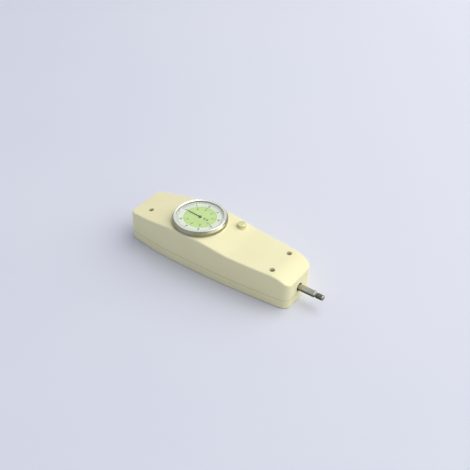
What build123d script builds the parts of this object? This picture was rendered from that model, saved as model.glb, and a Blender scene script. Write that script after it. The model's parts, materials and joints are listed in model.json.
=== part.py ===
"""Analog push-pull force gauge: a cast housing with a dial, and a sprung spindle that drives its pointer.

The gauge lies on its back. +X runs along the spindle towards its free end, +Z is up through the dial,
and the origin is on the back, below the middle of the overall length. Millimetres throughout.
"""
from build123d import *
from math import acos, atan2, cos, degrees, pi, radians, sin, sqrt, tan
import os

# ---------------------------------------------------------------- driving dimensions
# Housing
body_length = 202.0
spindle_reach = 28.0            # free length of the spindle beyond the housing
bezel_margin = 0.4              # of the housing's sides beyond the bezel
rear_taper = 6.5                # of each side, from the dial to the rear face
front_taper = 7.7
widest_from = 60.0              # from the rear face, where the sides are parallel
widest_to = 80.0
rear_corner_radius = 7.0
front_corner_radius = 8.0
wall = 2.5
floor_thickness = 3.0
parting_gap = 0.2               # from the parting line up to the spindle's bush
rear_drop = 9.3                 # of the top, from the flat deck round the dial to the rear face
deck_from = 60.0                # from the rear face
deck_to = 98.0
saddle_from_rear = 132.0        # where the top has come down from the deck
saddle_drop = 4.6
shoulder_to_front = 22.0        # where the top starts to fall to the front face
shoulder_drop = 5.5
front_drop = 13.8
top_edge_radius = 1.6
back_edge_radius = 1.2
blend_radius = 40.0
lip_thickness = 1.1
lip_height = 1.6
lip_clearance = 0.1
overlap = 0.01                  # where the lip is joined to the wall

# Dial and bezel
dial_from_rear = 77.1
bezel_radius = 29.6
bezel_slope = 1.6               # of the bezel's upper side, inwards
bezel_height = 6.3
bezel_grip = 3.4                # height of the bezel's upright side
bezel_edge = 0.3
lip_slope = 1.7                 # of the bezel's rim, down to the window
clip_grip = 0.6                 # depth of the clip's groove in the bezel
wire_arc = 345.0                # of the split wire that holds the bezel
bezel_gap = 0.3
bezel_wall = 2.8                # from the collar to the outside of the bezel
collar_gap = 0.35               # between the collar and the dial's clip
collar_wall = 5.0
running_clearance = 0.05
window_step = 1.2               # of the bezel's lip over the crystal
crystal_thickness = 1.0
crystal_clearance = 0.1
seal_thickness = 0.2
seal_setback = 0.3              # from the window's edge
lip_depth = 0.7                 # bezel lip above the crystal seal
spacer_height = 1.1
spacer_wall = 1.2
dial_thickness = 0.8
dial_hole_gap = 0.9             # round the pointer's arbor
clip_thickness = 0.5
clip_width = 1.4                # inside the bezel's bore
clip_split = 5.0
ring_wire_radius = 0.4
ring_land = 0.35                # of the bezel below its retaining wire

# Spindle and springs
spindle_radius = 3.5
tail_radius = 3.0
thread_radius = 3.0
thread_length = 9.3
thread_chamfer = 0.6
relief_depth = 0.4              # of the groove behind the thread
relief_length = 1.0
spindle_chamfer = 0.5
tail_from_rear = 40.0
travel = 10.0                   # each way
bush_radius = 4.8
bush_length = 8.0
bush_recess = 0.4
boss_clearance = 0.3            # from the bush's boss to the back
chassis_from_rear = 52.0
chassis_half_width = 14.0
chassis_base = 3.0
chassis_wall = 4.0
seat_height = 2.0               # bosses under the chassis
spring_wall_from_rear = 118.0
nose_length = 32.0              # from the chassis to the front face
flange_thickness = 4.0
flange_radius = 7.0
flange_clearance = 0.5          # above the chassis
flange_clip_radius = 4.8
retaining_thickness = 0.7
groove_depth = 0.5              # of the retaining clip's groove
flange_chamfer = 0.6
spring_radius = 5.6             # to the middle of the wire
spring_wire_radius = 0.85
spring_pitch = 3.66

# Movement
plate_thickness = 1.5
plate_clearance = 6.0           # from the lower plate's far edge to the housing's side
plate_step = 6.0                # of the plate's far edge, beside the lever
plate_lift = 6.5                # of the lower plate above the spindle's axis
slot_clearance = 1.0            # beyond the rack carrier's travel
slot_side_clearance = 0.8
addendum = 0.9                  # of the wheels' teeth, in modules
dedendum = 1.25
rack_module = 0.5
rack_lift = 2.5                 # of the rack above the lower plate
wheel_lift = 1.5                # of the wheel above the rack
pinion_teeth = 16
wheel_module = 0.4
wheel_teeth = 60
centre_teeth = 24
rack_offset = 3.0               # pitch line of the rack, from the spindle's axis
rack_length = 28.0
rack_height = 4.0
rack_depth = 4.6
rack_addendum = 0.42
tooth_backlash = 0.05
pressure_angle = 20.0
pinion_lift = 0.3               # of the drive pinion above the rack carrier
wheel_thickness = 1.5
wheel_holes = 5
wheel_hole_radius = 2.4
wheel_hole_share = 0.62         # of the wheel's radius, to the middle of a hole
drive_arbor_radius = 1.4
pointer_arbor_radius = 0.9
pivot_radius = 0.7
end_play = 0.2
pillar_radius = 2.4
pillar_height = 12.0
plate_headroom = 3.3            # above the upper plate, below the deck
pillar_inset = 9.0              # of the rear pillars, from the chassis' rear
pillar_near = 12.0              # rows of pillars, from the spindle's axis
pillar_far = 6.0
plate_margin = 4.0              # of the upper plate round the pillars
plate_corner = 2.0
carrier_length = 9.0
carrier_radius = 5.0
carrier_pin_radius = 0.75
carrier_gap = 0.2               # round the spindle and its pin
rack_screw_spacing = 5.2
pointer_gap = 7.5               # from the pointer's tip to the window's edge
pointer_tail = 2.5
pointer_angle = 176.0           # the zero of the scale, from +X
pointer_thickness = 0.3
pointer_half_width = 0.8        # at the hub
pointer_tip_half_width = 0.35
pointer_point = 2.0
pointer_hub_radius = 1.6
hub_lift = 0.3                  # of the hub above the dial
hub_height = 0.25
hub_wall = 0.35                 # of the hub's neck, round the arbor

# Reset button and peak lever
button_from_rear = 116.4
button_to_side = 10.0
button_radius = 4.4
button_stand = 3.0
button_travel = 2.0
button_over_travel = 0.2
button_head_height = 6.9
button_stem_radius = 1.8
button_spring_radius = 3.05
button_spring_wire = 0.25
button_spring_turns = 4
spring_recess = 3.2             # in the underside of the button
guide_wall = 1.25
guide_floor = 1.0
button_clip_radius = 3.2
button_clip_thickness = 0.6
button_clip_mouth = 2.6
button_groove = 0.3
button_edge = 0.5
button_wall = 0.7
stem_gap = 0.3                  # between the button's stem and the lever
lever_width = 4.0
lever_arm = 1.6                 # thickness
lever_web = 2.6                 # of the upright that joins its two arms
lever_end = 2.3                 # beyond the button's axis
lever_hub_wall = 1.6
lever_drop = 7.7                # top of the lever's button arm, above the lower plate
ear_thickness = 1.5
ear_gap = 0.3                   # from the lever to the bracket's ears
lever_pivot_share = 0.49        # of the way from the button to the brake pad
pad_dx = 4.7                    # brake pad, from the wheel's middle
pad_dy = 10.0
pad_radius = 1.2
pad_thickness = 0.9
lever_pin_radius = 0.8
brake_gap = 0.3

# Fasteners and mounts
cover_screw_to_front = 23.4
cover_screw_half_gap = 15.7
rear_screw_from_rear = 19.0
rear_screw_offset = -10.6
cover_screw_radius = 1.5
cover_head_radius = 2.75
cover_head_height = 2.2
cover_head_depth = 4.9
cover_cross_length = 3.3
cover_cross_width = 0.7
screw_clearance = 0.25
slot_share = 0.3                # of a slotted head's radius
cover_screw_end = 5.0           # height of the cover screws' ends above the back
post_radius = 4.3
post_rise = 3.5                 # of the screw posts above the parting line
insert_spacing_x = 110.0
insert_spacing_y = 38.0
insert_from_rear = 40.0
insert_radius = 2.5
insert_bore = 1.65
insert_length = 7.0
small_screw_radius = 1.0
small_head_radius = 1.8
small_head_height = 1.2
chassis_screw_radius = 1.4
chassis_head_radius = 2.4
chassis_head_height = 1.7
chassis_screw_end = 1.0
chassis_screw_inset = 9.0
chassis_screw_edge = 3.5
plate_screw_edge = 4.0
boss_wall = 1.6                 # round screws and inserts in the back
plate_screw_length = 6.0
bracket_thickness = 1.2
bracket_length = 7.0

# ---------------------------------------------------------------- places worked out from them
chassis_floor = floor_thickness + seat_height
spindle_height = chassis_floor + chassis_base + flange_clearance + flange_radius
parting_height = spindle_height - bush_radius - parting_gap
post_top = parting_height + post_rise
plate_bottom = spindle_height + plate_lift
plate_top = plate_bottom + plate_thickness
upper_bottom = plate_top + pillar_height
upper_top = upper_bottom + plate_thickness

deck_height = upper_top + plate_headroom + wall
rear_height = deck_height - rear_drop
saddle_height = deck_height - saddle_drop
shoulder_height = deck_height - shoulder_drop
front_height = deck_height - front_drop
half_width = bezel_radius + bezel_margin
rear_half_width = half_width - rear_taper
front_half_width = half_width - front_taper
rear_x = -(body_length + spindle_reach) / 2
front_x = rear_x + body_length
tip_x = front_x + spindle_reach
dial_x = rear_x + dial_from_rear

collar_radius = bezel_radius - bezel_wall
deck_opening_radius = collar_radius - collar_wall
bezel_rim_radius = bezel_radius - bezel_slope
crystal_radius = collar_radius - crystal_clearance
window_radius = crystal_radius - window_step
pointer_length = window_radius - pointer_gap

spring_wall_x = rear_x + spring_wall_from_rear
chamber_rear_x = spring_wall_x + chassis_wall
chassis_rear_x = rear_x + chassis_from_rear
chassis_front_x = front_x - nose_length
chamber_front_x = chassis_front_x - chassis_wall
flange_x = (chamber_rear_x + chamber_front_x) / 2
plate_far = half_width - plate_clearance
plate_near = plate_far - plate_step

pinion_radius = rack_module * pinion_teeth / 2
wheel_radius = wheel_module * wheel_teeth / 2
centre_radius = wheel_module * centre_teeth / 2
gear_distance = wheel_radius + centre_radius
drive_y = rack_offset - pinion_radius
drive_x = dial_x + sqrt(gear_distance ** 2 - drive_y ** 2)
rack_bottom = plate_top + rack_lift
rack_top = rack_bottom + rack_height
wheel_bottom = rack_top + wheel_lift
wheel_top = wheel_bottom + wheel_thickness
mesh_angle = degrees(atan2(-drive_y, dial_x - drive_x))

bezel_bottom = deck_height + bezel_gap
bezel_top = bezel_bottom + bezel_height
lip_bottom = bezel_top - lip_depth
crystal_top = lip_bottom - seal_thickness
crystal_bottom = crystal_top - crystal_thickness
dial_top = crystal_bottom - spacer_height
dial_bottom = dial_top - dial_thickness
clip_bottom = dial_bottom - clip_thickness
bore_radius = collar_radius + running_clearance
collar_height = clip_bottom - collar_gap - deck_height
ring_z = bezel_bottom + ring_land + ring_wire_radius + running_clearance

button_x = rear_x + button_from_rear
button_y = half_width - button_to_side
pad_x = drive_x + pad_dx
pad_y = drive_y + pad_dy
lever_span = sqrt((pad_x - button_x) ** 2 + (pad_y - button_y) ** 2)
lever_direction = Vector((pad_x - button_x) / lever_span, (pad_y - button_y) / lever_span, 0)
pivot_reach = lever_span * lever_pivot_share


centred = (Align.CENTER, Align.CENTER, Align.MIN)
hanging = (Align.CENTER, Align.CENTER, Align.MAX)


def top_height(x):
    """Height of the housing's top on its way from the rear face to the shoulder."""
    stations = [
        (rear_x, rear_height),
        (rear_x + deck_from, deck_height),
        (rear_x + deck_to, deck_height),
        (rear_x + saddle_from_rear, saddle_height),
        (front_x - shoulder_to_front, shoulder_height),
    ]
    for (x0, z0), (x1, z1) in zip(stations, stations[1:]):
        if x <= x1:
            return z0 + (z1 - z0) * (x - x0) / (x1 - x0)
    return shoulder_height


# ---------------------------------------------------------------- housing
def plan_outline(inset=0.0):
    """The housing seen from above, drawn in by inset."""
    with BuildSketch() as plan:
        with BuildLine():
            Line((rear_x, 0), (rear_x, rear_half_width))
            TangentArc((rear_x + widest_from, half_width), (rear_x, rear_half_width), tangent=(-1, 0))
            Line((rear_x + widest_from, half_width), (rear_x + widest_to, half_width))
            TangentArc((rear_x + widest_to, half_width), (front_x, front_half_width), tangent=(1, 0))
            Line((front_x, front_half_width), (front_x, 0))
            mirror(about=Plane.XZ)
        make_face()
        fillet(plan.vertices().group_by(Axis.X)[0], rear_corner_radius)
        fillet(plan.vertices().group_by(Axis.X)[-1], front_corner_radius)
        if inset:
            offset(amount=-inset, kind=Kind.ARC, mode=Mode.REPLACE)
    return plan.sketch


def side_profile(drop=0.0):
    """The housing seen from the side, with its top lowered by drop."""
    with BuildSketch(Plane.XZ) as side:
        with BuildLine():
            rear_edge = Line((rear_x, 0), (rear_x, rear_height - drop))
            tail = Line(rear_edge @ 1, (rear_x + deck_from, deck_height - drop))
            deck = Line(tail @ 1, (rear_x + deck_to, deck_height - drop))
            slope = Line(deck @ 1, (rear_x + saddle_from_rear, saddle_height - drop))
            nose = Line(slope @ 1, (front_x - shoulder_to_front, shoulder_height - drop))
            shoulder = TangentArc(nose @ 1, (front_x, front_height - drop), tangent=nose % 1)
            Line(shoulder @ 1, (front_x, 0))
            Line((front_x, 0), (rear_x, 0))
        make_face()
        bends = [deck @ 0, slope @ 0, slope @ 1]
        fillet([side.vertices().sort_by_distance(bend)[0] for bend in bends], blend_radius)
    return side.sketch


def housing_block(inset, drop):
    """A solid of the housing's plan and side profile, for its outside or its hollow."""
    with BuildPart() as block:
        extrude(plan_outline(inset), amount=deck_height)
        extrude(side_profile(drop), amount=half_width + 1, both=True, mode=Mode.INTERSECT)
    return block


outer = housing_block(0.0, 0.0)
with outer:
    upper = outer.edges().filter_by(lambda e: e.center().Z > parting_height + wall)
    level = upper.filter_by(lambda e: abs(e.tangent_at(0.5).Z) < 0.9)
    rim = level.filter_by(lambda e: abs(e.center().Y) > 1 or not rear_x + 1 < e.center().X < front_x - 1)
    fillet(rim, top_edge_radius)
hollow = housing_block(wall, wall)
with hollow:
    split(bisect_by=Plane.XY.offset(floor_thickness), keep=Keep.TOP)

screw_places = [
    (front_x - cover_screw_to_front, cover_screw_half_gap),
    (front_x - cover_screw_to_front, -cover_screw_half_gap),
    (rear_x + rear_screw_from_rear, rear_screw_offset),
]
insert_x = rear_x + insert_from_rear + insert_spacing_x / 2
insert_grid = GridLocations(insert_spacing_x, insert_spacing_y, 2, 2)
insert_places = [(insert_x + spot.position.X, spot.position.Y) for spot in insert_grid]
chassis_screw_xs = [chassis_rear_x + chassis_screw_inset, chamber_front_x - chassis_screw_inset]
chassis_screw_y = chassis_half_width - chassis_screw_edge
chassis_screw_places = [(x, side * chassis_screw_y) for x in chassis_screw_xs for side in (1, -1)]
plate_screw_xs = [chassis_rear_x + chassis_wall / 2, spring_wall_x + chassis_wall / 2]
plate_screw_y = chassis_half_width - plate_screw_edge
plate_screw_places = [(x, side * plate_screw_y) for x in plate_screw_xs for side in (1, -1)]
pillar_rear_x = chassis_rear_x + pillar_inset
pillar_front_x = drive_x + wheel_radius + pillar_radius + end_play
pillar_places = [
    (pillar_rear_x, -pillar_near),
    (pillar_rear_x, pillar_far),
    (pillar_front_x, -pillar_near),
]

with BuildPart() as back_case:
    add(outer.part)
    split(bisect_by=Plane.XY.offset(parting_height), keep=Keep.BOTTOM)
    fillet(back_case.edges().group_by(Axis.Z)[0], back_edge_radius)
    add(hollow.part, mode=Mode.SUBTRACT)
    with BuildSketch(Plane.XY.offset(parting_height - lip_height)):
        add(plan_outline(wall - overlap))
        add(plan_outline(wall + lip_thickness), mode=Mode.SUBTRACT)
    extrude(amount=lip_height)
    with BuildSketch(Plane.XY.offset(parting_height)):
        add(plan_outline(wall + lip_clearance))
        add(plan_outline(wall + lip_thickness), mode=Mode.SUBTRACT)
    extrude(amount=lip_height)
    with BuildSketch(Plane.YZ.offset(front_x - wall)):
        with Locations((0, spindle_height)):
            Circle(bush_radius + wall + boss_clearance)
    extrude(amount=-bush_length, mode=Mode.SUBTRACT)
    with BuildSketch(Plane.XY.offset(floor_thickness)):
        with Locations(*screw_places):
            Circle(post_radius)
    extrude(amount=post_top - floor_thickness)
    with BuildSketch(Plane.XY.offset(floor_thickness)):
        with Locations(*insert_places):
            Circle(insert_radius + boss_wall)
    extrude(amount=insert_length - floor_thickness)
    with BuildSketch(Plane.XY.offset(floor_thickness)):
        with Locations(*chassis_screw_places):
            Circle(chassis_head_radius + boss_wall)
    extrude(amount=seat_height)
    with Locations(*[(x, y, post_top) for x, y in screw_places]):
        Hole(cover_screw_radius, depth=post_top - cover_screw_end)
    with Locations(*[(x, y, insert_length) for x, y in insert_places]):
        Hole(insert_radius, depth=insert_length)
    with Locations(*[(x, y, chassis_floor) for x, y in chassis_screw_places]):
        Hole(chassis_screw_radius, depth=chassis_floor - chassis_screw_end)
back_case.part.label = "back_case"

guide_top = top_height(button_x - button_radius - guide_wall)
guide_radius = button_radius + running_clearance + guide_wall
pad_outside = bezel_radius + bezel_gap

with BuildPart() as front_cover:
    add(outer.part)
    with Locations((dial_x, 0, deck_height)):
        Cylinder(pad_outside, deck_height - saddle_height, align=hanging)
        Cylinder(collar_radius, collar_height, align=(Align.CENTER, Align.CENTER, Align.MIN))
    split(bisect_by=Plane.XY.offset(parting_height), keep=Keep.TOP)
    add(hollow.part, mode=Mode.SUBTRACT)
    with BuildSketch(Plane.XY.offset(post_top)):
        with Locations(*screw_places):
            Circle(post_radius)
    extrude(until=Until.NEXT)
    with BuildSketch(Plane.XY.offset(guide_top - 2 * wall)):
        with Locations((button_x, button_y)):
            Circle(guide_radius + guide_wall)
    extrude(amount=wall)
    with Locations((dial_x, 0, deck_height)):
        Cylinder(deck_opening_radius, deck_height, mode=Mode.SUBTRACT)
    for x, y in screw_places:
        with Locations((x, y, top_height(x) + wall)):
            CounterBoreHole(
                cover_screw_radius + screw_clearance,
                cover_head_radius + screw_clearance,
                cover_head_depth + wall,
            )
    with Locations((button_x, button_y, guide_top)):
        Cylinder(guide_radius, deck_height, mode=Mode.SUBTRACT)
    with BuildSketch(Plane.YZ.offset(front_x - wall)):
        with Locations((0, spindle_height)):
            Circle(bush_radius + wall)
        with Locations((0, parting_height)):
            Rectangle(2 * half_width, deck_height, align=(Align.CENTER, Align.MIN), mode=Mode.INTERSECT)
    extrude(amount=wall - bush_length)
    with Locations(Plane.YZ.offset(front_x) * Location((0, spindle_height, 0))):
        Cylinder(bush_radius, 2 * (bush_length + wall), mode=Mode.SUBTRACT)
    with BuildSketch(Plane.XZ):
        with Locations((dial_x + collar_radius, ring_z)):
            Circle(ring_wire_radius + running_clearance)
    revolve(axis=Axis((dial_x, 0, 0), (0, 0, 1)), mode=Mode.SUBTRACT)
front_cover.part.label = "front_cover"


# ---------------------------------------------------------------- fasteners, inserts and the bush
def slotted_screws(places, seat, shank, shank_radius, head_radius, head_height):
    """Screws that point down, with slotted heads on seat, made in the open part."""
    with Locations(*[(x, y, seat) for x, y in places]):
        Cylinder(shank_radius, shank, align=hanging)
        Cylinder(head_radius, head_height, align=centred)
    with Locations(*[(x, y, seat + head_height) for x, y in places]):
        Box(3 * head_radius, slot_share * head_radius, head_height, mode=Mode.SUBTRACT)


with BuildPart() as cover_screws:
    for x, y in screw_places:
        seat = top_height(x) - cover_head_depth
        with Locations((x, y, seat)):
            Cylinder(cover_screw_radius, seat - cover_screw_end, align=hanging)
            Cylinder(cover_head_radius, cover_head_height, align=centred)
        with Locations((x, y, seat + cover_head_height)):
            Box(cover_cross_length, cover_cross_width, cover_head_height, mode=Mode.SUBTRACT)
            Box(cover_cross_width, cover_cross_length, cover_head_height, mode=Mode.SUBTRACT)
cover_screws.part.label = "cover_screws"

with BuildPart() as mount_inserts:
    with Locations(*[(x, y, 0) for x, y in insert_places]):
        Cylinder(insert_radius, insert_length, align=centred)
        Cylinder(insert_bore, insert_length, align=centred, mode=Mode.SUBTRACT)
mount_inserts.part.label = "mount_inserts"

with BuildPart() as spindle_bush:
    with BuildSketch(Plane.YZ.offset(front_x - bush_recess)):
        with Locations((0, spindle_height)):
            Circle(bush_radius)
            Circle(spindle_radius + running_clearance, mode=Mode.SUBTRACT)
    extrude(amount=-bush_length)
spindle_bush.part.label = "spindle_bush"

# ---------------------------------------------------------------- chassis with its spring walls
with BuildPart() as chassis:
    with BuildSketch(Plane.XY.offset(chassis_floor)):
        with Locations((chassis_rear_x, 0)):
            Rectangle(
                chassis_front_x - chassis_rear_x,
                2 * chassis_half_width,
                align=(Align.MIN, Align.CENTER),
            )
    extrude(amount=chassis_base)
    for wall_x in (chassis_rear_x, spring_wall_x, chamber_front_x):
        with BuildSketch(Plane.YZ.offset(wall_x)):
            with Locations((0, chassis_floor)):
                Rectangle(
                    2 * chassis_half_width,
                    plate_bottom - chassis_floor,
                    align=(Align.CENTER, Align.MIN),
                )
        extrude(amount=chassis_wall)
    with BuildSketch(Plane.YZ.offset(chassis_rear_x)):
        with Locations((0, spindle_height)):
            Circle(tail_radius + running_clearance)
    extrude(amount=chamber_rear_x - chassis_rear_x, mode=Mode.SUBTRACT)
    with BuildSketch(Plane.YZ.offset(chamber_front_x)):
        with Locations((0, spindle_height)):
            Circle(spindle_radius + running_clearance)
    extrude(amount=chassis_wall, mode=Mode.SUBTRACT)
    with Locations(*[(x, y, chassis_floor + chassis_base) for x, y in chassis_screw_places]):
        Hole(chassis_screw_radius, depth=chassis_base)
    with Locations(*[(x, y, plate_bottom) for x, y in plate_screw_places]):
        Hole(small_screw_radius, depth=plate_screw_length - plate_thickness)
chassis.part.label = "chassis"

with BuildPart() as chassis_screws:
    slotted_screws(
        chassis_screw_places,
        chassis_floor + chassis_base,
        chassis_floor + chassis_base - chassis_screw_end,
        chassis_screw_radius,
        chassis_head_radius,
        chassis_head_height,
    )
chassis_screws.part.label = "chassis_screws"

# ---------------------------------------------------------------- movement plates and pillars
slot_half_length = carrier_length / 2 + travel + slot_clearance
lever_plane = Plane(
    origin=(button_x, button_y, 0),
    x_dir=lever_direction,
    z_dir=lever_direction.cross(Vector(0, 0, 1)),
)
bracket_plane = Plane(origin=(button_x, button_y, plate_top), x_dir=lever_direction, z_dir=(0, 0, 1))
bracket_inside = lever_width / 2 + 2 * ear_gap + ear_thickness
bracket_outside = bracket_inside + 2 * (small_head_radius + 2 * ear_gap)
bracket_screw_y = -(bracket_inside + small_head_radius + ear_gap)
bracket_screw = bracket_plane * Location((pivot_reach, bracket_screw_y, 0))

with BuildPart() as lower_plate:
    with BuildSketch(Plane.XY.offset(plate_bottom)):
        with BuildLine():
            Polyline(
                (chassis_rear_x, -plate_near),
                (chamber_rear_x, -plate_near),
                (chamber_rear_x, plate_far),
                (drive_x - wheel_radius, plate_far),
                (drive_x - wheel_radius - plate_step, plate_near),
                (chassis_rear_x, plate_near),
                close=True,
            )
        make_face()
        fillet(vertices(), plate_corner)
        with Locations((drive_x, rack_offset + rack_depth / 2)):
            Rectangle(2 * slot_half_length, rack_depth + 2 * slot_side_clearance, mode=Mode.SUBTRACT)
        with Locations((drive_x, drive_y), (dial_x, 0)):
            Circle(pivot_radius + running_clearance, mode=Mode.SUBTRACT)
        with Locations(*plate_screw_places, (bracket_screw.position.X, bracket_screw.position.Y)):
            Circle(small_screw_radius, mode=Mode.SUBTRACT)
        with Locations(*pillar_places):
            Circle(pillar_radius / 2, mode=Mode.SUBTRACT)
    extrude(amount=plate_thickness)
lower_plate.part.label = "lower_plate"

with BuildPart() as lower_plate_screws:
    slotted_screws(
        plate_screw_places,
        plate_top,
        plate_screw_length,
        small_screw_radius,
        small_head_radius,
        small_head_height,
    )
lower_plate_screws.part.label = "lower_plate_screws"

with BuildPart() as plate_pillars:
    with Locations(*[(x, y, plate_top) for x, y in pillar_places]):
        Cylinder(pillar_radius, pillar_height, align=centred)
        Cylinder(pillar_radius / 2, plate_thickness, align=hanging)
    with Locations(*[(x, y, upper_bottom) for x, y in pillar_places]):
        Hole(small_screw_radius, depth=plate_screw_length - plate_thickness)
plate_pillars.part.label = "plate_pillars"

with BuildPart() as upper_plate:
    with BuildSketch(Plane.XY.offset(upper_bottom)):
        with BuildLine():
            Polyline(
                (pillar_rear_x - plate_margin, -pillar_near - plate_margin),
                (pillar_front_x + plate_margin, -pillar_near - plate_margin),
                (pillar_front_x + plate_margin, -pillar_near + plate_margin),
                (drive_x + plate_margin, drive_y + plate_margin),
                (drive_x - 2 * plate_margin, pillar_far + plate_margin),
                (pillar_rear_x - plate_margin, pillar_far + plate_margin),
                close=True,
            )
        make_face()
        fillet(vertices(), plate_corner)
        with Locations((drive_x, drive_y)):
            Circle(pivot_radius + running_clearance, mode=Mode.SUBTRACT)
        with Locations((dial_x, 0)):
            Circle(pointer_arbor_radius + running_clearance, mode=Mode.SUBTRACT)
        with Locations(*pillar_places):
            Circle(small_screw_radius, mode=Mode.SUBTRACT)
    extrude(amount=plate_thickness)
upper_plate.part.label = "upper_plate"

with BuildPart() as upper_plate_screws:
    slotted_screws(
        pillar_places,
        upper_top,
        plate_screw_length,
        small_screw_radius,
        small_head_radius,
        small_head_height,
    )
upper_plate_screws.part.label = "upper_plate_screws"

# ---------------------------------------------------------------- spindle and what rides on it
flange_front_x = flange_x + flange_thickness / 2
flange_rear_x = flange_x - flange_thickness / 2
thread_x = tip_x - thread_length
spindle_axis = Axis((0, 0, spindle_height), (1, 0, 0))


def ring_on_spindle(start, length, outer_radius, inner_radius):
    """A ring about the spindle's axis, made in the open part."""
    with BuildSketch(Plane.YZ.offset(start)) as section:
        with Locations((0, spindle_height)):
            Circle(outer_radius)
            Circle(inner_radius, mode=Mode.SUBTRACT)
    extrude(section.sketch, amount=length)


with BuildPart() as spindle_rod:
    with BuildSketch(Plane.XZ):
        with BuildLine():
            Polyline(
                (rear_x + tail_from_rear, spindle_height),
                (rear_x + tail_from_rear, spindle_height + tail_radius),
                (flange_front_x, spindle_height + tail_radius),
                (flange_front_x, spindle_height + spindle_radius),
                (thread_x - spindle_chamfer, spindle_height + spindle_radius),
                (thread_x, spindle_height + spindle_radius - spindle_chamfer),
                (thread_x, spindle_height + thread_radius - relief_depth),
                (thread_x + relief_length, spindle_height + thread_radius - relief_depth),
                (thread_x + relief_length, spindle_height + thread_radius),
                (tip_x - thread_chamfer, spindle_height + thread_radius),
                (tip_x, spindle_height + thread_radius - thread_chamfer),
                (tip_x, spindle_height),
                close=True,
            )
        make_face()
    revolve(axis=spindle_axis)
    with BuildSketch(Plane.YZ.offset(flange_rear_x)):
        with Locations((0, spindle_height)):
            Circle(tail_radius)
            Circle(tail_radius - groove_depth, mode=Mode.SUBTRACT)
    extrude(amount=-retaining_thickness, mode=Mode.SUBTRACT)
    with Locations((drive_x, 0, spindle_height)):
        Cylinder(carrier_pin_radius, 4 * tail_radius, mode=Mode.SUBTRACT)
spindle_rod.part.label = "spindle_rod"

with BuildPart() as spring_flange:
    ring_on_spindle(flange_rear_x, flange_thickness, flange_radius, tail_radius)
    rims = spring_flange.edges().filter_by(GeomType.CIRCLE).filter_by(lambda e: e.radius > tail_radius + 1)
    chamfer(rims, flange_chamfer)
spring_flange.part.label = "spring_flange"

with BuildPart() as flange_clip:
    ring_on_spindle(flange_rear_x, -retaining_thickness, flange_clip_radius, tail_radius - groove_depth)
    with BuildSketch(Plane.YZ.offset(flange_rear_x)):
        with Locations((0, spindle_height)):
            Rectangle(tail_radius, flange_clip_radius + 1, align=(Align.CENTER, Align.MAX))
    extrude(amount=-retaining_thickness, mode=Mode.SUBTRACT)
flange_clip.part.label = "flange_clip"

rack_back_y = rack_offset + rack_depth
rack_screw_y = rack_back_y - small_head_radius
rack_screw_places = [(drive_x + side * rack_screw_spacing / 2, rack_screw_y) for side in (-1, 1)]
rack_head_seat = rack_top - small_head_height
carrier_thread = 5.0

with BuildPart() as rack_carrier:
    ring_on_spindle(drive_x - carrier_length / 2, carrier_length, carrier_radius, tail_radius)
    with BuildSketch(Plane.YZ.offset(drive_x - carrier_length / 2)):
        with Locations((tail_radius + carrier_gap, spindle_height)):
            Rectangle(
                rack_back_y - tail_radius - carrier_gap,
                rack_bottom - spindle_height,
                align=(Align.MIN, Align.MIN),
            )
    extrude(amount=carrier_length)
    with Locations((drive_x, 0, spindle_height)):
        Cylinder(carrier_pin_radius, 4 * tail_radius, mode=Mode.SUBTRACT)
    with Locations(*[(x, y, rack_bottom) for x, y in rack_screw_places]):
        Hole(small_screw_radius, depth=carrier_thread)
rack_carrier.part.label = "rack_carrier"

with BuildPart() as carrier_pin:
    with Locations((drive_x, 0, spindle_height)):
        Cylinder(carrier_pin_radius, 2 * (carrier_radius - carrier_gap))
carrier_pin.part.label = "carrier_pin"


# ---------------------------------------------------------------- toothed parts
def gear_points(module, teeth, x, y, tooth_angle):
    """Involute teeth round (x, y), with a tooth's middle at tooth_angle."""
    pitch_radius = module * teeth / 2
    base_radius = pitch_radius * cos(radians(pressure_angle))
    root_radius = pitch_radius - dedendum * module
    tip_radius = pitch_radius + addendum * module
    lowest = max(base_radius, root_radius)
    flank = [lowest, (lowest + tip_radius) / 2, tip_radius]
    pressure = radians(pressure_angle)
    half_tooth = pi / (2 * teeth) - tooth_backlash / (2 * pitch_radius) + tan(pressure) - pressure

    def half_angle(radius):
        roll = acos(min(1.0, base_radius / radius))
        return half_tooth - tan(roll) + roll

    side = [(radius, half_angle(radius)) for radius in flank]
    if root_radius < lowest:
        side.insert(0, (root_radius, half_angle(lowest)))
    points = []
    for tooth in range(teeth):
        middle = radians(tooth_angle) + 2 * pi * tooth / teeth
        turned = [(radius, middle - angle) for radius, angle in side]
        turned += [(radius, middle + angle) for radius, angle in reversed(side)]
        points += [(x + radius * cos(angle), y + radius * sin(angle)) for radius, angle in turned]
    return points


def rack_points():
    """The rack's outline from above, with a gap facing the drive pinion's middle."""
    pitch = pi * rack_module
    count = 2 * int(rack_length / pitch / 2)
    slope = tan(radians(pressure_angle))
    half = pitch / 4 - tooth_backlash / 2
    tip_y = rack_offset - rack_addendum
    root_y = rack_offset + dedendum * rack_module
    start = drive_x - (count - 1) * pitch / 2
    points = [(start - pitch / 2, rack_back_y), (start - pitch / 2, root_y)]
    for tooth in range(count):
        middle = start + tooth * pitch
        root_half = half + slope * (root_y - rack_offset)
        tip_half = half - slope * rack_addendum
        points += [(middle - root_half, root_y), (middle - tip_half, tip_y)]
        points += [(middle + tip_half, tip_y), (middle + root_half, root_y)]
    end = start + (count - 0.5) * pitch
    return points + [(end, root_y), (end, rack_back_y)]


with BuildPart() as rack:
    with BuildSketch(Plane.XY.offset(rack_bottom)):
        with BuildLine():
            Polyline(*rack_points(), close=True)
        make_face()
    extrude(amount=rack_height)
    with Locations(*[(x, y, rack_top) for x, y in rack_screw_places]):
        CounterBoreHole(small_screw_radius, small_head_radius - 0.1, small_head_height)
rack.part.label = "rack"

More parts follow.
